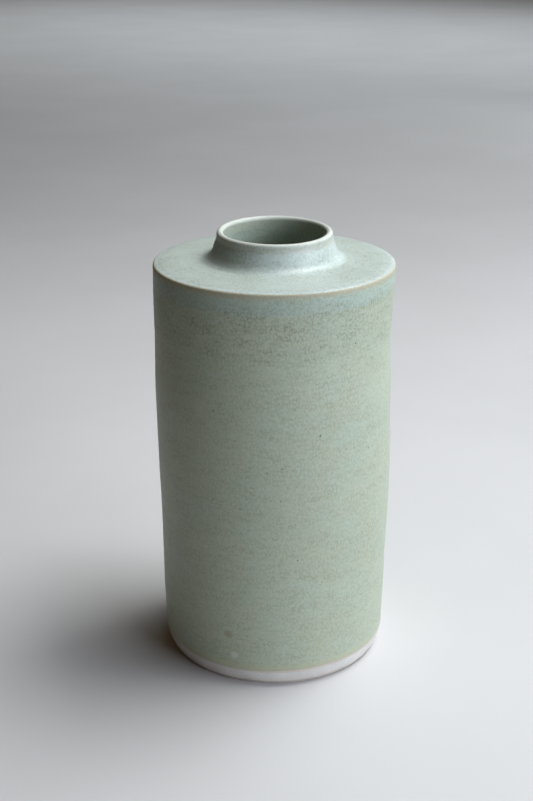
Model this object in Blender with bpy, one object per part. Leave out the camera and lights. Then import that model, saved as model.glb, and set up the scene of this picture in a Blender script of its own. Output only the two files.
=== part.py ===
"""Stoneware bottle vase: four thrown clay sections, luted together, under two coats of glaze.

Standalone: blender --background --python part.py
Metres, +Z up. The origin is the centre of the foot, on the surface that the vase stands on.
Every piece is turned about the Z axis, so each is one closed outline of (radius, height)
points, written in millimetres and spun round.
"""
from math import cos, hypot, pi, radians, sin, tan

import bmesh
import bpy
from mathutils import Vector

MM = 0.001
STEPS = 48                 # flats round each turned piece

# --- Driving sizes, in millimetres ---------------------------------------------------------
HEIGHT = 173.0             # table to the crest of the lip
WALL_RADIUS = 46.8         # widest place of the wall, glaze included
BULGE_HEIGHT = 107.0       # where the wall is widest
WAIST_HEIGHT = 134.0       # slightly narrower place above it
WAIST_RADIUS = 45.85
EDGE_RADIUS = 46.05        # the wall just under the shoulder
EDGE_HEIGHT = 160.7        # top of the shoulder's edge
EDGE_ROUND = 1.0
SHOULDER_SLOPE = radians(3)
NECK_RADIUS = 21.55        # outside of the neck under the lip
FLARE_REACH = 6.0          # how far the neck sweeps out into the shoulder
FLARE_RISE = 9.8           # and how high that sweep is
FLARE_FULLNESS = 1.3       # its shape: 1 is a straight cone, 2 a quarter of an ellipse
LIP_WIDTH = 2.2
FOOT_RADIUS = 43.7         # lower edge of the bare clay band
FOOT_BEVEL = 1.8           # height of the bevel under it
FOOT_FLAT = 42.2           # radius of the flat that the vase rests on
BAND_RADIUS = 44.9         # top of the bare clay band
BAND_HEIGHT = 7.4
GLAZE_RADIUS = 45.05       # the wall at the glaze line

FLOOR = 6.0                # floor of the pot, glaze included
WALL = 5.2                 # wall and shoulder, glaze included
FLOOR_CORNER = 5.0         # inside roundings
SHOULDER_CORNER = 4.0
NECK_CORNER = 4.2

GLAZE = 0.4                # thickness of each coat
GAP = 0.3                  # between touching pieces
SKIN = GLAZE + GAP         # from a glazed surface to the clay behind it
COLLAR = 1.9               # width of the foot's collar round the wall
RIM_DROP = 3.7             # from the shoulder's edge down to the top of the wall's clay
LEDGE = 2.8                # width of the wall's top outside its ledge
BOSS = 1.2                 # height of the neck's seat above the shoulder
SPIGOT = 2.2               # width of the neck's spigot
LAP = 2.1                  # depth of the stepped joints
COAT_OVERLAP = 5.0         # how far the outer coat runs down inside the lip

MOUTH = NECK_RADIUS - LIP_WIDTH


# --- Outline helpers -----------------------------------------------------------------------
def arc(centre, across, up, start, end, steps):
    """Points on an ellipse's arc, from angle start to angle end in degrees."""
    points = []
    for step in range(steps + 1):
        angle = radians(start + (end - start) * step / steps)
        points.append((centre[0] + across * cos(angle), centre[1] + up * sin(angle)))
    return points


def inset(path, distance):
    """Move an open path sideways: to the left of its direction if distance is positive."""
    moved = []
    for i, point in enumerate(path):
        before = Vector(path[max(i - 1, 0)])
        after = Vector(path[min(i + 1, len(path) - 1)])
        here = Vector(point)
        sides = []
        for step in (here - before, after - here):
            if step.length > 1e-6:
                step.normalize()
                sides.append(Vector((-step.y, step.x)))
        side = sum(sides, Vector((0, 0))).normalized()
        moved.append(tuple(here + side * distance / side.dot(sides[0])))
    return moved


def between(path, low, high):
    """The stretch of a rising path from one height to another, cut off level at both ends."""
    piece = []
    for a, b in zip(path, path[1:]):
        if b[1] <= low or a[1] >= high:
            continue
        start = (max(low, a[1]) - a[1]) / (b[1] - a[1])
        end = (min(high, b[1]) - a[1]) / (b[1] - a[1])
        for t in (start, end):
            point = (a[0] + (b[0] - a[0]) * t, a[1] + (b[1] - a[1]) * t)
            if not piece or hypot(point[0] - piece[-1][0], point[1] - piece[-1][1]) > 1e-4:
                piece.append(point)
    return piece


def wall_radius(height):
    """The thrown wall: a slow swelling to the bulge, in to the waist, out again to the edge."""
    stations = ((BAND_HEIGHT, GLAZE_RADIUS), (BULGE_HEIGHT, WALL_RADIUS),
                (WAIST_HEIGHT, WAIST_RADIUS), (EDGE_HEIGHT - EDGE_ROUND, EDGE_RADIUS))
    for (low, from_radius), (high, to_radius) in zip(stations, stations[1:]):
        if height <= high:
            t = max(0.0, (height - low) / (high - low))
            return from_radius + (to_radius - from_radius) * (1 - cos(pi * t)) / 2
    return stations[-1][1]


def sweep(radius, height, steps):
    """The neck's flare, up from the shoulder: a quarter of a superellipse."""
    points = []
    for step in range(steps + 1):
        angle = radians(90 * step / steps)
        reach = FLARE_REACH * sin(angle) ** (2 / FLARE_FULLNESS)
        rise = FLARE_RISE * (1 - abs(cos(angle)) ** (2 / FLARE_FULLNESS))
        points.append((radius - reach, height + rise))
    return points


# --- The finished pot's surfaces -----------------------------------------------------------
# Rising path outside, from the glaze line over the shoulder's edge to the top of the neck.
glaze_line = BAND_HEIGHT + GAP
wall_heights = (glaze_line, 40.0, 70.0, BULGE_HEIGHT, WAIST_HEIGHT, EDGE_HEIGHT - EDGE_ROUND)
flare_end = NECK_RADIUS + FLARE_REACH
edge_start = EDGE_RADIUS - EDGE_ROUND
flare_height = EDGE_HEIGHT + (edge_start - flare_end) * tan(SHOULDER_SLOPE)
lip_height = HEIGHT - LIP_WIDTH / 2
lip_centre = (NECK_RADIUS - LIP_WIDTH / 2, lip_height)

outside = [(wall_radius(height), height) for height in wall_heights]
outside += arc((edge_start, EDGE_HEIGHT - EDGE_ROUND), EDGE_ROUND, EDGE_ROUND, 30, 90, 2)
outside += sweep(flare_end, flare_height, 7)
lip = arc(lip_centre, LIP_WIDTH / 2, LIP_WIDTH / 2, 0, 180, 6)

# Rising path inside, from the middle of the floor out, up the wall and in to the mouth.
inner_wall = [(wall_radius(height) - WALL, height) for height in (40.0, BULGE_HEIGHT)]
foot_inside = wall_radius(glaze_line) - WALL
top_inside = wall_radius(WAIST_HEIGHT) - WALL
ceiling = EDGE_HEIGHT - WALL

inside = [(0.0, FLOOR)]
inside += arc((foot_inside - FLOOR_CORNER, FLOOR + FLOOR_CORNER),
              FLOOR_CORNER, FLOOR_CORNER, -90, 0, 3)
inside += inner_wall
inside += arc((top_inside - SHOULDER_CORNER, ceiling - SHOULDER_CORNER),
              SHOULDER_CORNER, SHOULDER_CORNER, 0, 90, 3)
neck_inside = (MOUTH + NECK_CORNER, ceiling + GAP + NECK_CORNER)
inside += arc(neck_inside, NECK_CORNER, NECK_CORNER, -90, -180, 3)
inside += [(MOUTH, lip_height)]

clay_outside = inset(outside, SKIN)
clay_inside = inset(inside, -SKIN)

# Where the sections meet: the foot's floor and collar, the wall's top, the neck's seat.
floor_clay = FLOOR - SKIN
collar_inside = BAND_RADIUS - COLLAR
wall_top = EDGE_HEIGHT - RIM_DROP
ledge_radius = EDGE_RADIUS - LEDGE
neck_joint = flare_height + BOSS
spigot_radius = MOUTH + SKIN + SPIGOT


# --- Materials and turning -----------------------------------------------------------------
def material(name, colour, roughness):
    finish = bpy.data.materials.new(name)
    finish.use_nodes = True
    shader = finish.node_tree.nodes["Principled BSDF"]
    shader.inputs["Base Color"].default_value = (*colour, 1)
    shader.inputs["Roughness"].default_value = roughness
    shader.inputs["Metallic"].default_value = 0.0
    finish.diffuse_color = (*colour, 1)
    return finish


def turned(name, outline, finish):
    """Spin one closed outline round Z into a closed solid and stand it in the vase."""
    work = bmesh.new()
    corners = [work.verts.new((radius * MM, 0, height * MM)) for radius, height in outline]
    edges = [work.edges.new((a, b)) for a, b in zip(corners, corners[1:] + corners[:1])]
    bmesh.ops.spin(work, geom=corners + edges, cent=(0, 0, 0), axis=(0, 0, 1),
                   angle=2 * pi, steps=STEPS, use_merge=True, use_duplicate=False)
    bmesh.ops.remove_doubles(work, verts=work.verts, dist=MM / 1000)
    bmesh.ops.dissolve_degenerate(work, edges=work.edges, dist=MM / 1000)
    on_axis = [edge for edge in work.edges
               if all(hypot(v.co.x, v.co.y) < MM / 1000 for v in edge.verts)]
    bmesh.ops.delete(work, geom=on_axis, context="EDGES")
    bmesh.ops.recalc_face_normals(work, faces=work.faces)
    mesh = bpy.data.meshes.new(name)
    work.to_mesh(mesh)
    work.free()
    mesh.materials.append(finish)
    mesh.shade_smooth()
    mesh.set_sharp_from_angle(angle=radians(40))
    piece = bpy.data.objects.new(name, mesh)
    bpy.context.collection.objects.link(piece)
    piece.parent = vase
    return piece


# --- Clay sections -------------------------------------------------------------------------
def foot_disc():
    """Floor and bare foot: a disc with a low collar, inside which the wall stands."""
    band_curve = (BAND_RADIUS - 0.3, FOOT_BEVEL + 2.4)
    outline = [(0, 0), (FOOT_FLAT, 0), (FOOT_RADIUS, FOOT_BEVEL), band_curve]
    outline += [(BAND_RADIUS, BAND_HEIGHT), (collar_inside, BAND_HEIGHT)]
    outline += [(collar_inside, floor_clay), (0, floor_clay)]
    return turned("foot_disc", outline, clay)


def wall_cylinder():
    """Thrown cylinder: its foot steps down inside the collar, its top has a ledge inside."""
    bottom = floor_clay + GAP
    step_in = collar_inside - GAP
    outline = between(clay_outside, glaze_line, wall_top)
    outline += [(ledge_radius, wall_top), (ledge_radius, wall_top - LAP)]
    outline += reversed(between(clay_inside, bottom, wall_top - LAP))
    outline += [(step_in, bottom), (step_in, glaze_line)]
    return turned("wall_cylinder", outline, clay)


def shoulder_disc():
    """Flat shoulder: drops onto the wall's ledge, and has a seat for the neck's spigot."""
    rim = wall_top + GAP
    seat_top = neck_joint - GAP
    hole_radius = spigot_radius + GAP
    plug_radius = ledge_radius - GAP
    outline = between(clay_outside, rim, seat_top)
    outline += [(hole_radius, seat_top), (hole_radius, seat_top - LAP)]
    outline += reversed(between(clay_inside, rim - LAP, seat_top - LAP))
    outline += [(plug_radius, rim - LAP), (plug_radius, rim)]
    return turned("shoulder_disc", outline, clay)


def neck_collar():
    """Neck with its thin lip: a spigot goes down into the shoulder's seat."""
    lip_round = LIP_WIDTH / 2 - SKIN
    below_lip = lip_height - GAP
    outline = between(clay_outside, neck_joint, below_lip)
    outline += arc(lip_centre, lip_round, lip_round, 0, 180, 4)
    outline += reversed(between(clay_inside, neck_joint - LAP, below_lip))
    outline += [(spigot_radius, neck_joint - LAP), (spigot_radius, neck_joint)]
    return turned("neck_collar", outline, clay)


# --- Glaze coats ---------------------------------------------------------------------------
def outer_glaze():
    """One coat from the glaze line over wall, shoulder, neck and lip, into the mouth."""
    face = outside + lip + [(MOUTH, HEIGHT - COAT_OVERLAP)]
    return turned("outer_glaze", face + inset(face, GLAZE)[::-1], glaze)


def inner_glaze():
    """Liner coat over the floor, the wall, the underside of the shoulder and into the neck."""
    face = [inside[0]] + between(inside, FLOOR, HEIGHT - COAT_OVERLAP - GAP)
    return turned("inner_glaze", face + inset(face, -GLAZE)[::-1], glaze)


for old in list(bpy.data.objects):
    bpy.data.objects.remove(old, do_unlink=True)

clay = material("stoneware_clay", (0.60, 0.52, 0.43), 0.85)
glaze = material("celadon_glaze", (0.36, 0.44, 0.34), 0.45)
vase = bpy.data.objects.new("vase", None)
bpy.context.collection.objects.link(vase)

for make in (foot_disc, wall_cylinder, shoulder_disc, neck_collar, outer_glaze, inner_glaze):
    made = make()
    print(made.name, len(made.data.polygons), "faces")
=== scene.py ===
# %% [markdown]
# # A thrown stoneware bottle vase
# This lesson builds the looks of a small studio vase: a straight wall, a flat shoulder, a short
# flared neck, and a sage green glaze that stops above a bare clay foot. The frame holds the
# working model, whose pieces are plain turned solids. Each of them is made again here with the
# marks of a hand and a kiln on it, inside the same box.

# %% Load the frame
from math import cos, pi, radians, sin, tan

import bpy
import numpy as np
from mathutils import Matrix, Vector


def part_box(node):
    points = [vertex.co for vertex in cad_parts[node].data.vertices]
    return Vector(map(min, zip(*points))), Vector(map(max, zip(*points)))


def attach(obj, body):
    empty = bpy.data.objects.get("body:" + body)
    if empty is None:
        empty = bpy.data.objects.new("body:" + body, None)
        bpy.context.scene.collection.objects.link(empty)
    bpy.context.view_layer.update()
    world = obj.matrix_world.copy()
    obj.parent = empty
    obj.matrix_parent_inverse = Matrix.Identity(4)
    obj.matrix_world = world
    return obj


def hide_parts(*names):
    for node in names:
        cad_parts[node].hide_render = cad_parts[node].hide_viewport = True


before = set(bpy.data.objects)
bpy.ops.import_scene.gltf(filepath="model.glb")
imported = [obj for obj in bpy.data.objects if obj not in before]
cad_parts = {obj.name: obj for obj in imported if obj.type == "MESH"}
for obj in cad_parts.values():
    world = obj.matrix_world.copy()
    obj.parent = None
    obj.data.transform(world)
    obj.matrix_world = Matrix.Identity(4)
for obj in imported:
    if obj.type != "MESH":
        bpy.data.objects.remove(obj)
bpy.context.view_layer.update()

print("the vase's pieces:", ", ".join(sorted(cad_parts)))

# %% [markdown]
# A potter measures in millimetres and Blender in metres, so outlines are written in
# millimetres and turned into metres where the mesh is made. The heights and widths that other
# pieces depend on are read from the frame. What is left is how thick things are.

# %% Sizes
MM = 0.001
foot_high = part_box("foot_disc")[1]
coat_low, coat_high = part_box("outer_glaze")
liner_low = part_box("inner_glaze")[0]

HEIGHT = coat_high.z / MM
WALL_RADIUS = coat_high.x / MM
GLAZE_LINE = coat_low.z / MM
BAND_HEIGHT = foot_high.z / MM
FLOOR_CLAY = liner_low.z / MM - 0.3

GLAZE = 0.4            # thickness of a coat of glaze
GAP = 0.3              # what separates two pieces that touch
SKIN = GLAZE + GAP     # from a glazed surface to the clay behind it
WALL = 5.2             # wall and shoulder, glaze included
LIP_WIDTH = 2.5
LAP = 2.1              # depth of the stepped joints
print(f"{HEIGHT:.1f} mm tall, {2 * WALL_RADIUS:.1f} mm wide, glaze from {GLAZE_LINE:.1f} mm up")

# %% [markdown]
# Every piece of a thrown pot is a solid of revolution, so each starts as an outline: points at
# a distance from the axis and a height. Three helpers draw outlines. One makes an arc, one
# moves a line sideways by a thickness, and one cuts a stretch out between two heights. Points
# typed one by one would do as well, but a thickness could then not be changed in one place.

# %% Outline helpers
def arc(centre, across, up, start, end, steps):
    turns = [radians(start + (end - start) * step / steps) for step in range(steps + 1)]
    return [(centre[0] + across * cos(t), centre[1] + up * sin(t)) for t in turns]


def offset(path, distance):
    """The same line moved sideways, to its left if distance is positive."""
    line = np.array(path, float)
    along = np.gradient(line, axis=0)
    along /= np.linalg.norm(along, axis=1)[:, None]
    side = np.stack([-along[:, 1], along[:, 0]], axis=1)
    return [tuple(point) for point in line + side * distance]


def between(path, low, high):
    """The part of a rising line from one height to another, cut level at both ends."""
    radii, heights = np.array(path).T
    inner = [point for point in path if low + 0.01 < point[1] < high - 0.01]
    ends = [(float(np.interp(h, heights, radii)), h) for h in (low, high)]
    return [ends[0], *inner, ends[1]]


# %% [markdown]
# The outside of the pot is one line from the glaze line to the neck. The wall is a slow curve
# through a few stations: it swells two thirds of the way up, draws in, and flares a little
# under the shoulder. The shoulder falls gently outwards, faster near its edge, and turns over
# a crisp edge. The neck is a short cone that rises from a soft hollow in the shoulder and bends
# upright just under the lip.

# %% The outside line
STATIONS = ((7.4, 45.05), (28.0, 45.5), (107.0, WALL_RADIUS), (134.0, 45.85), (159.7, 46.05))
EDGE_RADIUS = STATIONS[-1][1]
EDGE_START = STATIONS[-1][0]
EDGE_ROUND = 0.9
EDGE_TURN = 76          # degrees that the edge turns over, from upright
SHOULDER_FALL = 2.5     # degrees
NECK_RADIUS = 21.95
NECK_SLOPE = 68         # degrees above level, for the cone under the lip
NECK_BEND = 6.0         # radius of the bend from the lip into the cone
NECK_HOLLOW = 5.0       # radius of the hollow where the cone meets the shoulder
NECK_FOOT = 27.0        # about where the cone would meet the shoulder


def wall_radius(height):
    for (low, narrow), (high, wide) in zip(STATIONS, STATIONS[1:]):
        if height <= high:
            share = max(0.0, (height - low) / (high - low))
            return narrow + (wide - narrow) * (1 - cos(pi * share)) / 2
    return EDGE_RADIUS


def shoulder_height(radius):
    """Height of the shoulder at a radius: an even fall, and a soft turn near the edge."""
    fall = (radius - edge_top[0]) * tan(radians(SHOULDER_FALL))
    turn = 0.42 * (max(0.0, radius - 39) ** 2.4 - (edge_top[0] - 39) ** 2.4) / 6 ** 2.4
    return edge_top[1] - fall - turn


# %% [markdown]
# The edge is an arc on top of the wall, and the bend is an arc under the lip. The slope of the
# cone says where it meets the shoulder, and the hollow rounds that corner off. Then the wall,
# the edge, the shoulder, the hollow and the bend are strung into one line.

# %% Join the wall, the shoulder and the neck
edge_centre = (EDGE_RADIUS - EDGE_ROUND, EDGE_START)
edge = arc(edge_centre, EDGE_ROUND, EDGE_ROUND, 0, EDGE_TURN, 9)
edge_top = edge[-1]

neck_top = HEIGHT - 1.6
bend = arc((NECK_RADIUS + NECK_BEND, neck_top), NECK_BEND, NECK_BEND, 180, 270 - NECK_SLOPE, 8)
rise = bend[-1][1] - shoulder_height(NECK_FOOT)
cone_foot = bend[-1][0] + rise / tan(radians(NECK_SLOPE))
hollow_reach = NECK_HOLLOW * tan(radians(NECK_SLOPE / 2 - 1.2))
hollow_end = cone_foot + hollow_reach
flare_foot = shoulder_height(hollow_end)
hollow_centre = (hollow_end - 0.2, flare_foot + NECK_HOLLOW)
hollow_start = -90 - SHOULDER_FALL
hollow = arc(hollow_centre, NECK_HOLLOW, NECK_HOLLOW, hollow_start, -90 - NECK_SLOPE, 12)
print(f"the neck's cone stands at {cone_foot:.1f} mm, its hollow ends at {hollow_end:.1f} mm")

outside = [(wall_radius(h), h) for h in np.arange(GLAZE_LINE + 0.8, EDGE_START, 1.2)]
outside += edge
outside += [(r, shoulder_height(r)) for r in np.linspace(edge_top[0], hollow_end + 0.5, 22)[1:]]
outside += hollow + bend[::-1]
print(f"outside line: {len(outside)} points, shoulder {flare_foot:.1f} mm up at the neck")

# %% [markdown]
# The lip is a half circle on top of the neck wall. The inside line runs from the middle of the
# floor, round the corner, up the wall, under the shoulder, and up inside the neck. It is a
# line of its own and not a copy of the outside, because a finger rounds the inside corners more.

# %% The lip and the inside line
MOUTH_RADIUS = NECK_RADIUS - LIP_WIDTH
lip_centre = (NECK_RADIUS - LIP_WIDTH / 2, HEIGHT - LIP_WIDTH / 2)
lip = arc(lip_centre, LIP_WIDTH / 2, LIP_WIDTH / 2, 0, 180, 14)

FLOOR = FLOOR_CLAY + SKIN
CEILING = edge_top[1] - WALL
foot_inside = wall_radius(GLAZE_LINE) - WALL
top_inside = wall_radius(134.0) - WALL

inside = [(0.0, FLOOR), (18.0, FLOOR + 0.001)]
inside += arc((foot_inside - 5.0, FLOOR + 5.0), 5.0, 5.0, -89, 0, 8)
inside += [(wall_radius(h) - WALL, h) for h in np.arange(16.0, 148.0, 6.0)]
inside += arc((top_inside - 4.0, CEILING - 4.0), 4.0, 4.0, 0, 88, 8)
inside += arc((MOUTH_RADIUS + 4.2, CEILING + 4.8), 4.2, 4.2, -92, -180, 8)
inside += [(MOUTH_RADIUS, h) for h in (163.0, 166.0, 169.0, lip_centre[1])]

clay_outside = offset(outside, SKIN)
clay_inside = offset(inside, -SKIN)
print(f"mouth {2 * MOUTH_RADIUS:.1f} mm across, floor {FLOOR:.1f} mm thick")

# %% [markdown]
# An outline becomes a solid as it would on a lathe. A single point is pulled out, point after
# point, along the outline, and the finished line is spun once round the axis. Modelling the
# shape as a cylinder and scaling its rings would work too, but the line keeps every rounding
# where the outline says. Doubled points are merged before the faces are turned outwards.

# %% Turn an outline into a solid
WELD = 0.005 * MM       # points closer than this are one point
STEPS_CLAY = 144        # faces round a piece: more where its outline is seen
STEPS_FOOT = 192
STEPS_COAT = 240


def deselect():
    bpy.ops.object.select_all(action="DESELECT")


def turn(name, outline, steps, closed=True):
    """Extrude a point along the outline, spin the line round the axis and close the seam."""
    deselect()
    bpy.ops.mesh.primitive_plane_add(size=MM, location=(0, 0, 0))
    piece = bpy.context.object
    piece.name = piece.data.name = name
    line = list(outline) + [outline[0]] * closed
    bpy.ops.object.mode_set(mode="EDIT")
    bpy.ops.mesh.select_all(action="SELECT")
    bpy.ops.mesh.merge(type="CENTER")
    bpy.ops.transform.translate(value=(line[0][0] * MM, 0, line[0][1] * MM))
    for (r, h), (next_r, next_h) in zip(line, line[1:]):
        step = ((next_r - r) * MM, 0, (next_h - h) * MM)
        bpy.ops.mesh.extrude_region_move(TRANSFORM_OT_translate={"value": step})
    bpy.ops.mesh.select_all(action="SELECT")
    bpy.ops.mesh.remove_doubles(threshold=WELD)
    bpy.ops.mesh.spin(steps=steps, angle=2 * pi, center=(0, 0, 0), axis=(0, 0, 1))
    bpy.ops.mesh.select_all(action="SELECT")
    bpy.ops.mesh.remove_doubles(threshold=WELD)
    bpy.ops.mesh.normals_make_consistent(inside=False)
    bpy.ops.object.mode_set(mode="OBJECT")
    print(f"{name}: {len(piece.data.polygons)} faces")
    return piece


# %% [markdown]
# No hand throws a true cylinder. As the wall was pulled up, its centre wandered by more than
# half a millimetre, it went slightly oval, and the lip ended a millimetre lower at the front
# than at the back. A lattice could bend the pieces too, but formulas say by how much. All
# pieces go through the same small changes of shape, so the glaze still lies on its clay.

# %% What the hand does to the shape
def swell(height, middle, spread):
    return np.exp(-((height - middle) / spread) ** 2)


def smooth(value, low, high):
    share = np.clip((value - low) / (high - low), 0, 1)
    return share * share * (3 - 2 * share)


def hand(points):
    """Move points, in millimetres, from the true turned shape to the thrown one."""
    x, y, z = points.T
    radius = np.maximum(np.hypot(x, y), 1e-6)
    angle = np.arctan2(y, x)
    # out is how much wider the wall gets: drawn in where it swells, oval, and fuller at its side
    out = -0.68 * swell(z, 107, 26) + 0.1 * swell(z, 152, 9)
    out += 0.09 * np.cos(2 * angle - 0.9) * smooth(z, 10, 60)
    out += 0.06 * np.cos(3 * angle + 1.4) * smooth(z, 40, 100)
    out += 0.20 * swell(z, 120, 12) * np.clip(-np.cos(angle), 0, 1)
    out *= np.clip(radius / 30, 0, 1)
    # then the centre wanders sideways, and the neck tilts towards the front
    wander_x = -0.68 * swell(z, 134, 20) - 0.34 * swell(z, 104, 16) + 0.25 * swell(z, 62, 16)
    wander_y = 0.12 * swell(z, 85, 25)
    neck = smooth(z, 161, 171)
    tilt = 0.5 * (np.sin(angle - 0.12) - 1) * neck + 0.05 * np.cos(3 * angle) * neck
    tilt -= 0.05 * neck
    grown = (radius + out) / radius
    return np.stack([x * grown + wander_x, y * grown + wander_y, z + tilt], axis=1)


# %% [markdown]
# A change of shape is a function of points, so one helper can apply any of them to a mesh. It
# moves the points and leaves the faces as they are. Shading by angle then makes a piece smooth
# without rounding its crisp edges, which shading the whole piece smooth would do.

# %% Apply a change of shape
SHARP_ANGLE = 35        # an edge that turns by more degrees than this stays crisp


def reshape(piece, change):
    points = np.zeros(len(piece.data.vertices) * 3)
    piece.data.vertices.foreach_get("co", points)
    moved = change(points.reshape(-1, 3) / MM) * MM
    piece.data.vertices.foreach_set("co", moved.ravel())
    piece.data.update()


def finish_smooth(piece):
    deselect()
    bpy.context.view_layer.objects.active = piece
    piece.select_set(True)
    bpy.ops.object.shade_smooth_by_angle(angle=radians(SHARP_ANGLE))
    deselect()


# %% [markdown]
# Fingers leave shallow rings on the outer surface alone. They are spirals, because the pot
# turns while the finger rises, and a sine of the height with the angle added to it climbs one
# ring a turn. Here most were smoothed with a rib, so they are hundredths of a millimetre deep,
# and stronger at a few heights where the rib was lifted off.

# %% Rings left by the fingers
RING_PITCH = 4.3        # millimetres that the spiral climbs in a turn
STRONG_RINGS = ((133.6, 2.2), (51.5, 2.6), (39.5, 2.6), (121.0, 3.0), (86.0, 3.4), (18.0, 2.5))


def fingers(points):
    x, y, z = points.T
    radius = np.hypot(x, y)
    angle = np.arctan2(y, x)
    on_wall = smooth(radius, 44.0, 44.6) * smooth(z, 8.5, 13) * (1 - smooth(z, 155, 158))
    climb = z / RING_PITCH * 2 * pi + angle
    depth = 0.016 * np.sin(climb) * (1 + 0.5 * np.sin(z / 11 + 2 * angle))
    depth += 0.010 * np.sin(2.7 * climb + 1.1)
    for height, spread in STRONG_RINGS:
        leaning = height + 0.5 * np.sin(angle + height)
        depth -= 0.055 * swell(z, leaning, spread / 2) * (0.7 + 0.3 * np.sin(2 * angle + height))
    on_top = smooth(z, 159.5, 160.6) * (1 - smooth(z, 163, 164))
    lift = on_top * 0.02 * np.sin(radius * 2 * pi / 3.1 + angle)
    groove = -0.05 * swell(radius, 25.6, 0.5) * smooth(z, 160, 161) * (1 - smooth(z, 166, 167))
    grown = (radius + depth * on_wall) / np.maximum(radius, 1e-6)
    return np.stack([x * grown, y * grown, z + lift + groove], axis=1)


# %% [markdown]
# ## The clay body
# The foot is the only clay that shows: a flat underside, a small bevel so that the foot doesn't
# chip, and a rounded band. It rises as a low collar round the bottom of the wall, hidden under
# the glaze. It is turned from one outline that starts and ends on the axis.

# %% Foot
FOOT_RADIUS = 43.7
FOOT_FLAT = 42.2
BEVEL_HEIGHT = 1.8
COLLAR = 1.9
BAND_RADIUS = 44.78
collar_top = BAND_HEIGHT + 0.7
collar_inside = BAND_RADIUS - COLLAR
bevel_corner = arc((FOOT_FLAT - 0.15, 0.35), 0.45, 0.35, -90, -45, 4)
band_low = arc((FOOT_RADIUS - 0.5, BEVEL_HEIGHT + 0.45), 0.55, 0.6, -45, 20, 5)
band = [(FOOT_RADIUS + 0.38, 3.4), (FOOT_RADIUS + 0.72, 4.6), (FOOT_RADIUS + 0.95, 5.8)]

foot_line = [(0, 0), (20, 0), *bevel_corner, *band_low, *band]
foot_line += arc((BAND_RADIUS - 0.3, collar_top - 0.3), 0.3, 0.3, 0, 90, 4)
foot_line += [(collar_inside, collar_top), (collar_inside, FLOOR_CLAY), (0, FLOOR_CLAY)]
foot = turn("clay_foot", foot_line, STEPS_FOOT, closed=False)

# %% [markdown]
# The wall, the shoulder and the neck are the clay core between the two coats of glaze, joined
# by steps that register them. The wall stands inside the foot's collar. A stretch of the
# clay's outside and a stretch of its inside make its outline, with the steps typed between.

# %% Wall
step_in = collar_inside - GAP
wall_foot = collar_top + GAP
wall_top = 157.0
ledge = EDGE_RADIUS - 2.8
wall_bottom = FLOOR_CLAY + GAP

wall_line = between(clay_outside, wall_foot, wall_top)[::4]
wall_line += [(ledge + 1.2, wall_top), (ledge, wall_top), (ledge, wall_top - LAP)]
wall_line += between(clay_inside, wall_bottom, wall_top - LAP)[::-1]
wall_line += [(step_in, wall_bottom), (step_in, wall_foot)]
wall = turn("clay_wall", wall_line, STEPS_CLAY)

# %% [markdown]
# The shoulder is a flat ring that drops onto a ledge in the wall's top. It is cut from the same
# two lines a little higher up, with a step for the ledge and a seat for the neck typed in.

# %% Shoulder
plug = ledge - GAP
rim = wall_top + GAP
seat_top = flare_foot + 0.9
seat = MOUTH_RADIUS + SKIN + 2.5

shoulder_line = between(clay_outside, rim, seat_top)
shoulder_line += [(seat, seat_top), (seat, seat_top - LAP)]
shoulder_line += between(clay_inside, rim - LAP, seat_top - LAP)[::-1]
shoulder_line += [(plug, rim - LAP), (plug, rim)]
shoulder = turn("clay_shoulder", shoulder_line, STEPS_CLAY)

# %% [markdown]
# The neck is a short tube whose spigot sits in the shoulder's seat. Its crest is the lip's half
# circle, drawn in by the glaze that covers it.

# %% Neck
spigot = seat - GAP
neck_foot = seat_top + GAP
neck_crest = arc(lip_centre, LIP_WIDTH / 2 - SKIN, LIP_WIDTH / 2 - SKIN, 0, 180, 6)
neck_line = between(clay_outside, neck_foot, lip_centre[1] - GAP) + neck_crest
neck_line += between(clay_inside, neck_foot - LAP, lip_centre[1] - GAP)[::-1]
neck_line += [(spigot, neck_foot - LAP), (spigot, neck_foot)]
neck = turn("clay_neck", neck_line, STEPS_CLAY)

# %% [markdown]
# ## The glaze
# Glaze is a skin of glass less than half a millimetre thick. The outer coat is drawn as its
# visible face, from a thick roll at the glaze line up over the lip, and its back at one coat's
# thickness. At the foot it laps over the top of the bare band, where it was wiped away in a
# line by hand. A Solidify modifier could give the thickness, but not the roll at the end.

# %% Outer coat
COAT_END = HEIGHT - 5.0
roll = [(BAND_RADIUS + 0.03, GLAZE_LINE - 0.75), (BAND_RADIUS + 0.16, GLAZE_LINE - 0.72),
        (BAND_RADIUS + 0.27, GLAZE_LINE - 0.5), (BAND_RADIUS + 0.32, GLAZE_LINE - 0.1)]
face = roll + outside + lip + [(MOUTH_RADIUS, h) for h in (170.9, 169.5, COAT_END)]
back_up = [(BAND_RADIUS + 0.03, wall_foot + 0.4)]
back_up += offset(outside, GLAZE)[2:]
back_lip = arc(lip_centre, LIP_WIDTH / 2 - GLAZE, LIP_WIDTH / 2 - GLAZE, 0, 180, 10)
back = back_up + back_lip + [(MOUTH_RADIUS + GLAZE, COAT_END)]
outer_coat = turn("outer_glaze_coat", face + back[::-1], STEPS_COAT)

# %% [markdown]
# The liner is poured in, swirled and poured out before the outside is dipped, and it meets the
# outer coat inside the mouth. It is closed on the axis, like the foot.

# %% Liner coat
liner_face = inside[:-2] + [(MOUTH_RADIUS, COAT_END - 0.05)]
liner_back = offset(liner_face, -GLAZE)
liner_back[0] = (0.0, FLOOR - GLAZE)
liner_back[-1] = (MOUTH_RADIUS + GLAZE, COAT_END - 0.05)
liner_line = liner_face + liner_back[::-1]
liner_coat = turn("inner_glaze_coat", liner_line, STEPS_FOOT, closed=False)

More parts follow.
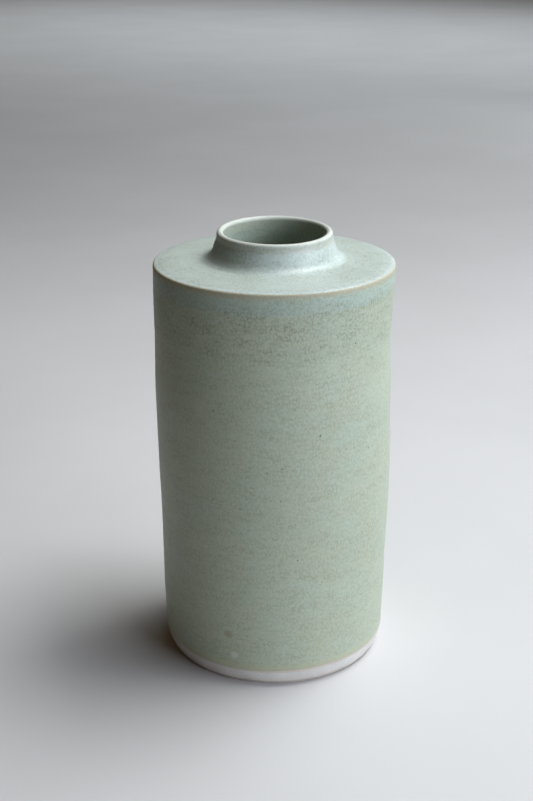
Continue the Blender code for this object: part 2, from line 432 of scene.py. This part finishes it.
# %% [markdown]
# The glaze line itself isn't level. Wiping glaze off with a sponge leaves a line that wavers by
# a few tenths of a millimetre, so the lowest points of the coat are moved up and down round
# the pot. Then every piece gets the hand's changes of shape and is shaded smooth, up to the
# angle at which an edge should stay crisp.

# %% Waver the glaze line and form by hand
def waver(points):
    x, y, z = points.T
    angle = np.arctan2(y, x)
    wave = 0.32 * np.cos(angle - radians(289)) ** 5 - 0.2 * np.cos(2 * angle - radians(120))
    wave += 0.08 * np.sin(5 * angle + 2) + 0.04 * np.sin(11 * angle)
    near_line = 1 - smooth(z, GLAZE_LINE, GLAZE_LINE + 4)
    return np.stack([x, y, z + wave * near_line], axis=1)


reshape(outer_coat, waver)
reshape(outer_coat, fingers)
for piece in (foot, wall, shoulder, neck, outer_coat, liner_coat):
    reshape(piece, hand)
    finish_smooth(piece)
    size = [round(side / MM, 1) for side in piece.dimensions]
    print(piece.name, size, "mm")

# %% [markdown]
# ## Finishes
# Every finish here is made of nodes. What several finishes share is a node group: where a point
# is on the pot, the mottling of the glaze, the iron specks and the lines of the wheel. A small
# helper writes a node with its settings and links in one line, so that the recipes stay short.

# %% Node helpers
class Recipe:
    """A node tree being written: each call adds one node and links its inputs."""

    def __init__(self, tree):
        self.tree = tree

    def add(self, kind, links=None, **settings):
        node = self.tree.nodes.new(kind)
        for name, value in settings.items():
            setattr(node, name, value)
        for name, value in (links or {}).items():
            if isinstance(value, bpy.types.NodeSocket):
                self.tree.links.new(value, node.inputs[name])
            else:
                node.inputs[name].default_value = value
        return node

    def math(self, operation, a, b=0.0, clamp=False):
        links = {0: a, 1: b}
        return self.add("ShaderNodeMath", links, operation=operation, use_clamp=clamp).outputs[0]

    def noise(self, vector, scale, detail, roughness):
        links = {"Vector": vector, "Scale": scale, "Detail": detail, "Roughness": roughness}
        return self.add("ShaderNodeTexNoise", links).outputs["Fac"]

    def ramp(self, value, low, high, out_low=0.0, out_high=1.0):
        links = {"Value": value, "From Min": low, "From Max": high,
                 "To Min": out_low, "To Max": out_high}
        node = self.add("ShaderNodeMapRange", links, interpolation_type="SMOOTHSTEP")
        return node.outputs[0]

    def band(self, value, low, high, soft):
        """1 between low and high, fading to 0 over the soft distance at both sides."""
        rise = self.ramp(value, low - soft, low)
        drop = self.ramp(value, high, high + soft, 1.0, 0.0)
        return self.math("MULTIPLY", rise, drop)

    def mix(self, share, first, second):
        node = self.add("ShaderNodeMix", data_type="RGBA")
        for index, value in ((0, share), (6, first), (7, second)):
            if isinstance(value, bpy.types.NodeSocket):
                self.tree.links.new(value, node.inputs[index])
            else:
                node.inputs[index].default_value = value
        return node.outputs[2]


# %% [markdown]
# A group's sockets are declared before it is filled, each with a name, so that a material says
# what it sets. One function makes an empty group, and another places a finished one. Copying
# the same nodes into every material would work, but a change would then be made three times.

# %% Make and place a group
def new_group(name, inputs, outputs):
    """A shader node group with named sockets. It gives its recipe, its inputs and its end."""
    print("group:", name)
    tree = bpy.data.node_groups.new(name, "ShaderNodeTree")
    for label, kind, default in inputs:
        socket = tree.interface.new_socket(label, in_out="INPUT", socket_type="NodeSocket" + kind)
        if default is not None:
            socket.default_value = default
    for label, kind in outputs:
        tree.interface.new_socket(label, in_out="OUTPUT", socket_type="NodeSocket" + kind)
    start = tree.nodes.new("NodeGroupInput")
    end = tree.nodes.new("NodeGroupOutput")
    return Recipe(tree), start.outputs, end.inputs


def use_group(recipe, group, **links):
    """Place a group in a recipe. Underscores in the names stand for spaces."""
    node = recipe.tree.nodes.new("ShaderNodeGroup")
    node.node_tree = group.tree
    for name, value in links.items():
        socket = node.inputs[name.replace("_", " ")]
        if isinstance(value, bpy.types.NodeSocket):
            recipe.tree.links.new(value, socket)
        else:
            socket.default_value = value
    return node.outputs


def colour(red, green, blue):
    return (red, green, blue, 1.0)


# %% [markdown]
# The first group turns a position into the potter's two numbers, the height above the table and
# the distance from the axis, both in millimetres. Bands of colour then follow the form at any
# angle of view, which a pattern painted from one side wouldn't do.

# %% Group: place on the pot
place, given, result = new_group(
    "Place on the pot",
    [("Position", "Vector", None)],
    [("Height", "Float"), ("Radius", "Float"), ("Millimetres", "Vector")])
scaled = place.add("ShaderNodeVectorMath", {0: given["Position"], 1: (1000, 1000, 1000)},
                   operation="MULTIPLY").outputs[0]
parts = place.add("ShaderNodeSeparateXYZ", {0: scaled}).outputs
flat = place.add("ShaderNodeCombineXYZ", {"X": parts["X"], "Y": parts["Y"]}).outputs[0]
from_axis = place.add("ShaderNodeVectorMath", {0: flat}, operation="LENGTH").outputs["Value"]
place.tree.links.new(parts["Z"], result["Height"])
place.tree.links.new(from_axis, result["Radius"])
place.tree.links.new(scaled, result["Millimetres"])

# %% [markdown]
# A satin celadon is never one green. Crystals and iron in the melt make a grain less than half
# a millimetre across, slightly drawn out downwards by gravity. It gathers in flat patches, and
# lies over soft clouds of a centimetre or so and over faint level streaks, which follow the
# wheel. Four noises give the four masks: the grain's is stretched downwards, the patches' and
# the streaks' are stretched level, and the clouds' is left round.

# %% Group: mottling
mottle, given, result = new_group(
    "Mottling",
    [("Millimetres", "Vector", None), ("Grain", "Float", 0.6), ("Run", "Float", 1.6)],
    [("Fine", "Float"), ("Coarse", "Float"), ("Cloud", "Float"), ("Streak", "Float")])
downwards = mottle.math("DIVIDE", 1.0, given["Run"])
squeeze = mottle.add("ShaderNodeCombineXYZ", {"X": 1.0, "Y": 1.0, "Z": downwards}).outputs[0]
drawn = mottle.add("ShaderNodeVectorMath", {0: given["Millimetres"], 1: squeeze},
                   operation="MULTIPLY").outputs[0]
level = mottle.add("ShaderNodeVectorMath", {0: given["Millimetres"], 1: (0.28, 0.28, 1.0)},
                   operation="MULTIPLY").outputs[0]
per_grain = mottle.math("DIVIDE", 0.5, given["Grain"])
fine = mottle.noise(drawn, per_grain, 2.0, 0.6)
coarse = mottle.noise(level, mottle.math("MULTIPLY", per_grain, 0.6), 3.0, 0.6)
cloud = mottle.noise(given["Millimetres"], 0.075, 3.0, 0.55)
streak = mottle.noise(level, 0.24, 4.0, 0.62)
mottle.tree.links.new(mottle.ramp(fine, 0.34, 0.66), result["Fine"])
mottle.tree.links.new(mottle.ramp(coarse, 0.36, 0.64), result["Coarse"])
mottle.tree.links.new(mottle.ramp(cloud, 0.34, 0.66), result["Cloud"])
mottle.tree.links.new(mottle.ramp(streak, 0.34, 0.66), result["Streak"])

# %% [markdown]
# Iron grains in the clay melt through the glaze as small dark specks. Voronoi cells give them
# places that are random and never crowded. Each cell's random colour decides whether it holds
# a speck at all and how large it is, so that they look sprinkled and not tiled.

# %% Group: iron specks
specks, given, result = new_group(
    "Iron specks",
    [("Millimetres", "Vector", None), ("Spacing", "Float", 7.0), ("Size", "Float", 0.3),
     ("Share", "Float", 0.3)],
    [("Mask", "Float")])
per_mm = specks.math("DIVIDE", 1.0, given["Spacing"])
cells = specks.add("ShaderNodeTexVoronoi", {"Vector": given["Millimetres"], "Scale": per_mm}).outputs
chance = specks.add("ShaderNodeSeparateColor", {0: cells["Color"]}).outputs
distance = specks.math("MULTIPLY", cells["Distance"], given["Spacing"])
spread = specks.math("MULTIPLY", given["Size"], specks.math("ADD", chance["Green"], 0.45))
dot = specks.math("SUBTRACT", 1.0, specks.math("DIVIDE", distance, spread), clamp=True)
chosen = specks.math("LESS_THAN", chance["Red"], given["Share"])
specks.tree.links.new(specks.math("MULTIPLY", specks.ramp(dot, 0.0, 0.45), chosen), result["Mask"])

# %% [markdown]
# Fine lines of the wheel run round both clay and glaze. Noise that is stretched almost flat,
# so that it changes quickly with height and hardly at all round the pot, gives lines that
# start, fade and merge as real ones do.

# %% Group: wheel lines
lines, given, result = new_group(
    "Wheel lines",
    [("Millimetres", "Vector", None), ("Pitch", "Float", 0.8)],
    [("Lines", "Float")])
flattened = lines.add("ShaderNodeVectorMath", {0: given["Millimetres"], 1: (0.012, 0.012, 1.0)},
                      operation="MULTIPLY").outputs[0]
tight = lines.noise(flattened, lines.math("DIVIDE", 1.0, given["Pitch"]), 3.0, 0.6)
lines.tree.links.new(tight, result["Lines"])

# %% [markdown]
# The celadon is a group of its own, because the outer coat and the liner are the same glaze.
# Clouds of sage and a sea green lie under streaks of straw. Over them come a bluer green where
# the glaze pools thick, frost in the pale grain and as a painted sheen and highlight, moss in the
# grain, a break colour where it runs thin over an edge, and iron in the spots. The group also
# gives how rough and how raised the surface is. One noise through a colour ramp would be
# simpler, but it repeats one scale.

# %% The glaze's colours
SAGE = colour(0.402, 0.458, 0.334)
SEA = colour(0.390, 0.474, 0.376)
STRAW = colour(0.440, 0.462, 0.335)
MOSS = colour(0.215, 0.245, 0.165)
# The pale grain's colour, also used for the painted sheen and highlight.
FROST_AND_SHEEN = colour(0.545, 0.625, 0.615)
POOL = colour(0.370, 0.472, 0.408)
IRON = colour(0.045, 0.043, 0.035)
BARE_BREAK = colour(0.400, 0.320, 0.220)

# %% [markdown]
# The group is told the shares of thin, thick, freckled, pale and spotted glaze at each point, and
# each later colour covers the earlier ones by its share. The pale share is painted sheen and
# highlight. The order matters: the dark grain lies over the pools and the pale parts, but a thin
# edge and an iron spot cover the grain.

# %% Group: celadon glaze
celadon, given, result = new_group(
    "Celadon",
    [("Millimetres", "Vector", None), ("Thin", "Float", 0.0), ("Thick", "Float", 0.0),
     ("Freckle", "Float", 0.3), ("Pale", "Float", 0.0), ("Break Colour", "Color", BARE_BREAK),
     ("Spots", "Float", 0.0), ("Satin", "Float", 0.42)],
    [("Color", "Color"), ("Roughness", "Float"), ("Height", "Float")])
mm = given["Millimetres"]
grain = use_group(celadon, mottle, Millimetres=mm, Grain=0.36, Run=1.4)
grainy = celadon.math("ADD", 0.20, celadon.math("MULTIPLY", given["Freckle"], 0.50))
patchy = celadon.math("ADD", 0.65, celadon.math("MULTIPLY", grain["Streak"], 0.75))
uneven = celadon.math("ADD", 0.5, celadon.math("MULTIPLY", grain["Coarse"], 0.7))
dark = celadon.math("MULTIPLY", grain["Fine"], uneven)
dark = celadon.math("ADD", 0.24, celadon.math("MULTIPLY", dark, 0.85))
dark = celadon.math("MULTIPLY", dark, celadon.math("MULTIPLY", grainy, patchy))
# Pale grain at random, plus the share of painted sheen and highlight that the coat gives.
pale = celadon.math("MULTIPLY", celadon.math("SUBTRACT", 1.0, grain["Fine"]), 0.20)
pale = celadon.math("ADD", pale, given["Pale"])
thick_share = celadon.math("MULTIPLY", given["Thick"], 0.8)

base = celadon.mix(celadon.math("MULTIPLY", grain["Cloud"], 0.5), SAGE, SEA)
straw = celadon.math("ADD", celadon.math("MULTIPLY", grain["Streak"], 0.28),
                     celadon.math("MULTIPLY", celadon.math("SUBTRACT", 1.0, grain["Cloud"]), 0.28))
base = celadon.mix(straw, base, STRAW)
base = celadon.mix(thick_share, base, POOL)
base = celadon.mix(pale, base, FROST_AND_SHEEN)
base = celadon.mix(dark, base, MOSS)
base = celadon.mix(given["Thin"], base, given["Break Colour"])
base = celadon.mix(given["Spots"], base, IRON)
celadon.tree.links.new(base, result["Color"])

rough = celadon.math("ADD", given["Satin"], celadon.math("MULTIPLY", grain["Fine"], 0.06))
rough = celadon.math("SUBTRACT", rough, celadon.math("MULTIPLY", given["Thick"], 0.06))
rough = celadon.math("ADD", rough, celadon.math("MULTIPLY", given["Thin"], 0.12))
celadon.tree.links.new(rough, result["Roughness"])

peel = celadon.noise(mm, 0.7, 2.0, 0.5)
relief = celadon.math("ADD", celadon.math("MULTIPLY", peel, 0.008),
                      celadon.math("MULTIPLY", grain["Coarse"], 0.003))
relief = celadon.math("SUBTRACT", relief, celadon.math("MULTIPLY", given["Spots"], 0.02))
celadon.tree.links.new(relief, result["Height"])


# %% [markdown]
# A finish starts from the position on the piece, in Object coordinates, and ends in one
# Principled shader. Its relief is in millimetres, so the Bump node's distance is one too.
# The shader stays in the material, and the groups only give it colours and values.

# %% Start a finish
def new_finish(name):
    """A material, its recipe, its shader and where the point is on the pot."""
    material = bpy.data.materials.new(name)
    material.use_nodes = True
    recipe = Recipe(material.node_tree)
    shader = material.node_tree.nodes["Principled BSDF"]
    where = recipe.add("ShaderNodeTexCoord").outputs["Object"]
    spot = use_group(recipe, place, Position=where)
    return material, recipe, shader, spot


def relief_to_normal(recipe, shader, height):
    bump = recipe.add("ShaderNodeBump", {"Height": height, "Distance": MM, "Strength": 1.0})
    recipe.tree.links.new(bump.outputs["Normal"], shader.inputs["Normal"])


def give(piece, material, slot_name, *nodes):
    """Put a finish on a piece, and let it ride in place of its solids."""
    piece.data.materials.clear()
    piece.data.materials.append(material)
    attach(piece, "root")
    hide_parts(*nodes)


# %% [markdown]
# ## The outer glaze
# The coat tells where it is thick and thin. It breaks to tan on the crisp edge of the shoulder,
# pools bluish just under that edge, and is more freckled below the pool. Each is a band of
# height or radius whose border is roughened by noise, since a glaze never stops in a line.

# %% Outer glaze: where it is thick and thin
outer_finish, outer, outer_shader, spot = new_finish("celadon_outside")
mm, height, radius = spot["Millimetres"], spot["Height"], spot["Radius"]

ragged = outer.noise(mm, 0.55, 3.0, 0.6)
shift = outer.math("MULTIPLY", outer.math("SUBTRACT", ragged, 0.5), 2.0)
uneven = outer.math("ADD", height, shift)
wall_part = outer.ramp(radius, 43.0, 44.5)
rim_part = outer.ramp(radius, 45.35, 45.85)

edge_break = outer.math("MULTIPLY", outer.band(uneven, 160.1, 161.5, 2.2), rim_part)
edge_break = outer.math("MULTIPLY", edge_break, outer.ramp(ragged, 0.30, 0.62, 0.35, 1.0))
pool_band = outer.math("MULTIPLY", outer.band(uneven, 153.2, 157.4, 1.6), wall_part)
freckle_zone = outer.math("MULTIPLY", outer.band(uneven, 140.0, 152.0, 9.0), wall_part)
# A thin painted highlight along the rounded rim of the shoulder.
rim_highlight = outer.math("MULTIPLY", outer.band(height, 160.3, 161.2, 0.2),
                       outer.band(radius, 44.3, 45.3, 0.6))

# %% [markdown]
# On the neck the glaze breaks to cream over the lip, runs thin just under it, and pools in the
# hollow and inside the mouth. The cream on the lip is partly that thin break and partly a painted
# highlight on the lip's crest. Above the foot it gathers into an olive line. The shares of thin
# and thick are the largest of these masks at each point.

# %% Outer glaze: neck, lip and glaze line
neck_part = outer.ramp(radius, 28.5, 26.0)
neck_pool = outer.math("MULTIPLY", outer.band(uneven, 162.4, 168.0, 1.2), neck_part)
under_lip = outer.math("MULTIPLY", outer.band(uneven, 169.0, 171.3, 0.9), neck_part)
# Cream on the lip: a thin break of the glaze with a painted highlight on its crest.
lip_break_and_highlight = outer.math("MULTIPLY", outer.band(height, 171.7, 175.0, 0.5), neck_part)
line_olive = outer.math("MULTIPLY", outer.band(uneven, 5.0, 9.0, 1.6), 0.6)

thin = outer.math("MAXIMUM", outer.math("MULTIPLY", edge_break, 0.85),
                  outer.math("MULTIPLY", under_lip, 0.22))
thin = outer.math("MAXIMUM", thin, outer.math("MULTIPLY", lip_break_and_highlight, 0.7))
thick = outer.math("MAXIMUM", pool_band, neck_pool)
thick = outer.math("MAXIMUM", thick, outer.ramp(radius, 20.2, 19.7, 0.0, 0.85))
print(len(outer.tree.nodes), "nodes so far")

# %% [markdown]
# The specks that catch the eye were placed one by one, as angle round the pot, height and
# size. Each is a small ball that the surface cuts through, so it needs no unwrapping. The finer
# sprinkle comes from the Voronoi group.

# %% Outer glaze: iron specks
SPECKS = ((311, 139, 0.34), (292, 140, 0.28), (242, 115, 0.30), (292, 106, 0.38),
          (306, 98.5, 0.24), (321, 95.5, 0.26), (274, 94, 0.32), (267, 92.5, 0.30),
          (273, 81, 0.26), (240, 79, 0.26), (254, 77, 0.26), (254, 67, 0.24), (281, 56, 0.30),
          (35, 120, 0.32), (70, 88, 0.28), (98, 131, 0.30), (120, 62, 0.34), (150, 101, 0.26),
          (15, 47, 0.28), (170, 38, 0.28), (205, 125, 0.26))


def away_from(angle, up):
    """The distance of each point from a place on the wall, given by its angle and height."""
    radius_there = wall_radius(up)
    turned = [[radius_there * cos(radians(angle)), radius_there * sin(radians(angle)), up]]
    centre = hand(np.array(turned))[0]
    links = {0: mm, 1: tuple(centre)}
    return outer.add("ShaderNodeVectorMath", links, operation="DISTANCE").outputs["Value"]


spot_mask = use_group(outer, specks, Millimetres=mm, Spacing=6.0, Size=0.26, Share=0.16)["Mask"]
spot_mask = outer.math("MULTIPLY", spot_mask, 0.55)
for angle, up, size in SPECKS:
    dark = outer.ramp(away_from(angle, up), size * 0.55, size * 1.25, 0.85, 0.0)
    spot_mask = outer.math("MAXIMUM", spot_mask, dark)
print(len(SPECKS), "specks placed by hand")

# %% [markdown]
# Where the shoulder and the neck lie open to the fire, the glaze is a little smoother. There a
# painted sheen makes it paler and bluer, and a thin painted highlight follows the shoulder's rim.
# These masks and the ones above go into the celadon group, which answers with the colour, the
# roughness and the relief.

# %% Outer glaze: the coat
# Cream for the lip's break and its painted highlight, and for the pale bloom.
CREAM_AND_HIGHLIGHT = colour(0.600, 0.620, 0.560)
TAN = colour(0.420, 0.360, 0.245)

break_colour = outer.mix(lip_break_and_highlight, TAN, CREAM_AND_HIGHLIGHT)
freckle = outer.math("ADD", 0.24, outer.math("MULTIPLY", freckle_zone, 0.42))
# The upward faces of shoulder and neck: a painted sheen makes them paler and bluer, and they are a
# little smoother.
top_sheen = outer.math("MULTIPLY", outer.ramp(height, 160.2, 160.8), outer.ramp(radius, 46.0, 45.0))
top_sheen = outer.math("MULTIPLY", top_sheen, outer.ramp(radius, 19.7, 20.8))
satin = outer.math("SUBTRACT", 0.44, outer.math("MULTIPLY", top_sheen, 0.03))
# The pale share is painted light: a sheen on the top and a highlight along the rim.
pale = outer.math("MAXIMUM", outer.math("MULTIPLY", top_sheen, 0.66), rim_highlight)
coat = use_group(outer, celadon, Millimetres=mm, Thin=thin, Thick=thick, Freckle=freckle,
                 Pale=pale, Break_Colour=break_colour, Spots=spot_mask, Satin=satin)
print("the coat has", len(outer.tree.nodes), "nodes")

# %% [markdown]
# Two blooms low on the wall are larger than specks and softer: a brown one, where iron came
# through the glaze, and a pale one above the foot. They and the olive line lie over the coat.

# %% Outer glaze: blooms and olive line
GLAZE_LINE_OLIVE = colour(0.430, 0.440, 0.300)
UMBER = colour(0.260, 0.170, 0.085)
BLOOMS = ((247, 22, 2.6, 0.45, UMBER), (250, 13, 2.2, 0.6, CREAM_AND_HIGHLIGHT))

surface = outer.mix(line_olive, coat["Color"], GLAZE_LINE_OLIVE)
for angle, up, size, strength, tint in BLOOMS:
    bloom = outer.ramp(away_from(angle, up), size * 0.3, size, strength, 0.0)
    surface = outer.mix(bloom, surface, tint)
outer.tree.links.new(surface, outer_shader.inputs["Base Color"])
outer.tree.links.new(coat["Roughness"], outer_shader.inputs["Roughness"])
wheel = use_group(outer, lines, Millimetres=mm, Pitch=0.9)["Lines"]
relief = outer.math("ADD", coat["Height"], outer.math("MULTIPLY", wheel, 0.010))
relief_to_normal(outer, outer_shader, relief)
give(outer_coat, outer_finish, "celadon_glaze", "outer_glaze")
print(len(BLOOMS), "blooms over the coat")

# %% [markdown]
# ## The liner
# The liner is the same glaze poured in and out. It is thick everywhere and thickest on the
# floor and in its corner, so only that share changes. The rings inside are deep and wide,
# because no rib goes in through so narrow a neck.

# %% Liner glaze
liner_finish, liner, liner_shader, spot = new_finish("celadon_inside")
pooled = liner.ramp(spot["Height"], 14.0, 6.5, 0.85, 1.0)
coat = use_group(liner, celadon, Millimetres=spot["Millimetres"], Thick=pooled, Freckle=0.25)
liner.tree.links.new(coat["Color"], liner_shader.inputs["Base Color"])
liner.tree.links.new(coat["Roughness"], liner_shader.inputs["Roughness"])
wheel = use_group(liner, lines, Millimetres=spot["Millimetres"], Pitch=2.4)["Lines"]
relief = liner.math("ADD", coat["Height"], liner.math("MULTIPLY", wheel, 0.12))
relief_to_normal(liner, liner_shader, relief)
give(liner_coat, liner_finish, "liner_glaze", "inner_glaze")
print("the liner has", len(liner.tree.nodes), "nodes")

# %% [markdown]
# ## The bare clay
# Fired stoneware is matt and a little gritty. Its buff is broken by fine darker grains and by
# iron specks. It is toasted where the glaze stops, because iron moves to the edge of the melt.
# Towards the bottom the same brown is painted on as warm shade where the foot meets the table.
# Turning tools leave fine lines round it.

# %% Bare clay
BUFF = colour(0.610, 0.598, 0.572)
PALE_BUFF = colour(0.690, 0.682, 0.660)
GRIT = colour(0.420, 0.380, 0.320)
# Toast where the glaze stops, and painted warm shade near the table.
TOAST_AND_SHADE = colour(0.470, 0.350, 0.240)

clay_finish, clay, clay_shader, spot = new_finish("bare_stoneware")
mm = spot["Millimetres"]
grain = clay.ramp(clay.noise(mm, 1.5, 3.0, 0.6), 0.35, 0.65)
patch = clay.ramp(clay.noise(mm, 0.10, 2.0, 0.5), 0.35, 0.65)
body = clay.mix(clay.math("MULTIPLY", patch, 0.7), BUFF, PALE_BUFF)
body = clay.mix(clay.math("MULTIPLY", grain, 0.18), body, GRIT)
grit = use_group(clay, specks, Millimetres=mm, Spacing=1.6, Size=0.16, Share=0.35)["Mask"]
body = clay.mix(clay.math("MULTIPLY", grit, 0.5), body, GRIT)
toast_and_shade = clay.math("MULTIPLY", clay.band(spot["Height"], 6.6, 9.0, 0.8), 0.35)
# Painted warm shade: browner towards the bottom, where the foot meets the table.
toast_and_shade = clay.math("MAXIMUM", toast_and_shade, clay.ramp(spot["Height"], 4.2, 0.8, 0.0, 0.30))
body = clay.mix(toast_and_shade, body, TOAST_AND_SHADE)
clay.tree.links.new(body, clay_shader.inputs["Base Color"])
matt = clay.math("ADD", 0.78, clay.math("MULTIPLY", grain, 0.14))
clay.tree.links.new(matt, clay_shader.inputs["Roughness"])

tool_lines = use_group(clay, lines, Millimetres=mm, Pitch=0.5)["Lines"]
relief = clay.math("ADD", clay.math("MULTIPLY", tool_lines, 0.05),
                   clay.math("MULTIPLY", grain, 0.03))
relief_to_normal(clay, clay_shader, relief)
for piece, node in ((foot, "foot_disc"), (wall, "wall_cylinder"),
                    (shoulder, "shoulder_disc"), (neck, "neck_collar")):
    give(piece, clay_finish, "stoneware_clay", node)
print("the clay has", len(clay.tree.nodes), "nodes, and four pieces share it")

# %% [markdown]
# ## The studio
# The vase stands on a wide pale sheet. A pale surface throws much light back, and it would
# fill the shade on the left that makes the wall look round. So the sheet is painted to fade
# to a dark brown beyond the camera's view on that side. A black card standing there would do
# the same, but it would be in the way when the vase is looked at from elsewhere.

# %% Table
deselect()
bpy.ops.mesh.primitive_plane_add(size=24.0, location=(0, 0, 0))
table = bpy.context.object
table.name = "table"
table_finish = bpy.data.materials.new("pale_table")
table_finish.use_nodes = True
top = Recipe(table_finish.node_tree)
top_shader = table_finish.node_tree.nodes["Principled BSDF"]
where = top.add("ShaderNodeTexCoord").outputs["Object"]
soft = top.noise(where, 6.0, 4.0, 0.55)
shade = top.mix(top.ramp(soft, 0.3, 0.7), colour(0.61, 0.605, 0.605), colour(0.64, 0.635, 0.64))
FADE_SLANT = radians(10.8)     # the fade runs beside the left border of the view
FADE_START, FADE_END = 0.24, 0.38
leftwards = top.add("ShaderNodeVectorMath", {0: where, 1: (-cos(FADE_SLANT), -sin(FADE_SLANT), 0)},
                    operation="DOT_PRODUCT").outputs["Value"]
shade = top.mix(top.ramp(leftwards, FADE_START, FADE_END), shade, colour(0.085, 0.070, 0.055))
top.tree.links.new(shade, top_shader.inputs["Base Color"])
top_shader.inputs["Roughness"].default_value = 0.7
table.data.materials.append(table_finish)
print("table:", [round(side, 1) for side in table.dimensions], "m")

# %% [markdown]
# Four soft lights model the vase. A wide low window in front on the right is the key, and the
# wall falls steadily from it into shade. A weaker one behind on the right rims the edge. A high
# window lights the shoulder and the table, and a far light keeps the table even behind the
# vase. The last two have a narrower spread, as with a grid over a softbox.

# %% Light
def softbox(name, place_at, aim, size, power, tint, spread=180):
    data = bpy.data.lights.new(name, "AREA")
    data.shape = "RECTANGLE"
    data.size, data.size_y = size
    data.energy = power
    data.color = tint
    data.spread = radians(spread)
    lamp = bpy.data.objects.new(name, data)
    bpy.context.scene.collection.objects.link(lamp)
    lamp.location = place_at
    lamp.rotation_euler = (Vector(aim) - Vector(place_at)).to_track_quat("-Z", "Y").to_euler()
    lamp.visible_camera = False
    print(f"{name}: {power} W")


middle = Vector((0, 0, HEIGHT * MM / 2))


def aimed(around, up, away):
    """A place seen from the vase at an angle round it and above it, at a distance."""
    flat_away = away * cos(radians(up))
    x = flat_away * cos(radians(around))
    y = flat_away * sin(radians(around))
    return middle + Vector((x, y, away * sin(radians(up))))


# %% [markdown]
# A light's place is easiest to think of as an angle round the vase, an angle above it and a
# distance. Cool tints leave the lit side fresh, and the first window is the coldest.

# %% Place the lights
COOL = (0.95, 0.98, 1.0)
COLDER = (0.91, 0.98, 1.12)
FAR_TINT = (0.88, 0.95, 1.0)
softbox("window front", aimed(-32, 14, 1.4), middle, (1.2, 0.55), 14.4, COLDER)
softbox("window back", aimed(52, 16, 1.4), middle, (1.1, 0.55), 2.2, COOL)
softbox("high window", aimed(16, 64, 1.05), middle, (0.65, 0.55), 4.7, COOL, 110)
softbox("far light", (0.6, 2.6, 1.9), (0.3, 2.2, 0), (3.4, 1.3), 19.0, FAR_TINT, 100)

# %% [markdown]
# The room itself is a dim warm brown. Apart from what the table throws back, it is the only
# light that reaches the darkest side. The Standard view shows the colours as they were mixed,
# without a film's curve over them.

# %% The dim air of the room
world = bpy.data.worlds.new("room")
bpy.context.scene.world = world
world.use_nodes = True
air = world.node_tree.nodes["Background"]
air.inputs["Color"].default_value = colour(1.0, 0.68, 0.36)
air.inputs["Strength"].default_value = 0.045
bpy.context.scene.view_settings.view_transform = "Standard"
print("air:", air.inputs["Strength"].default_value)

# %% [markdown]
# The camera is a little above the vase and half a metre away, looking down by about twenty
# degrees, with a lens just longer than normal. It sees the whole mouth as a narrow ellipse.
# From further away with a longer lens the wall would narrow less towards the foot.

# %% Camera
CAMERA_AWAY = 0.4804
CAMERA_UP = 0.2900
LOOK_DOWN = 21.24
LOOK_LEFT = 0.37

view = bpy.data.cameras.new("camera")
view.sensor_fit = "VERTICAL"
view.sensor_height = 36.0
view.lens = 58.43
view.clip_start = 0.01
camera = bpy.data.objects.new("camera", view)
bpy.context.scene.collection.objects.link(camera)
camera.location = (0, -CAMERA_AWAY, CAMERA_UP)
camera.rotation_euler = (radians(90 - LOOK_DOWN), 0, radians(LOOK_LEFT))
bpy.context.scene.camera = camera
print(f"camera {camera.location.length:.2f} m from the foot, {view.lens:.0f} mm lens")
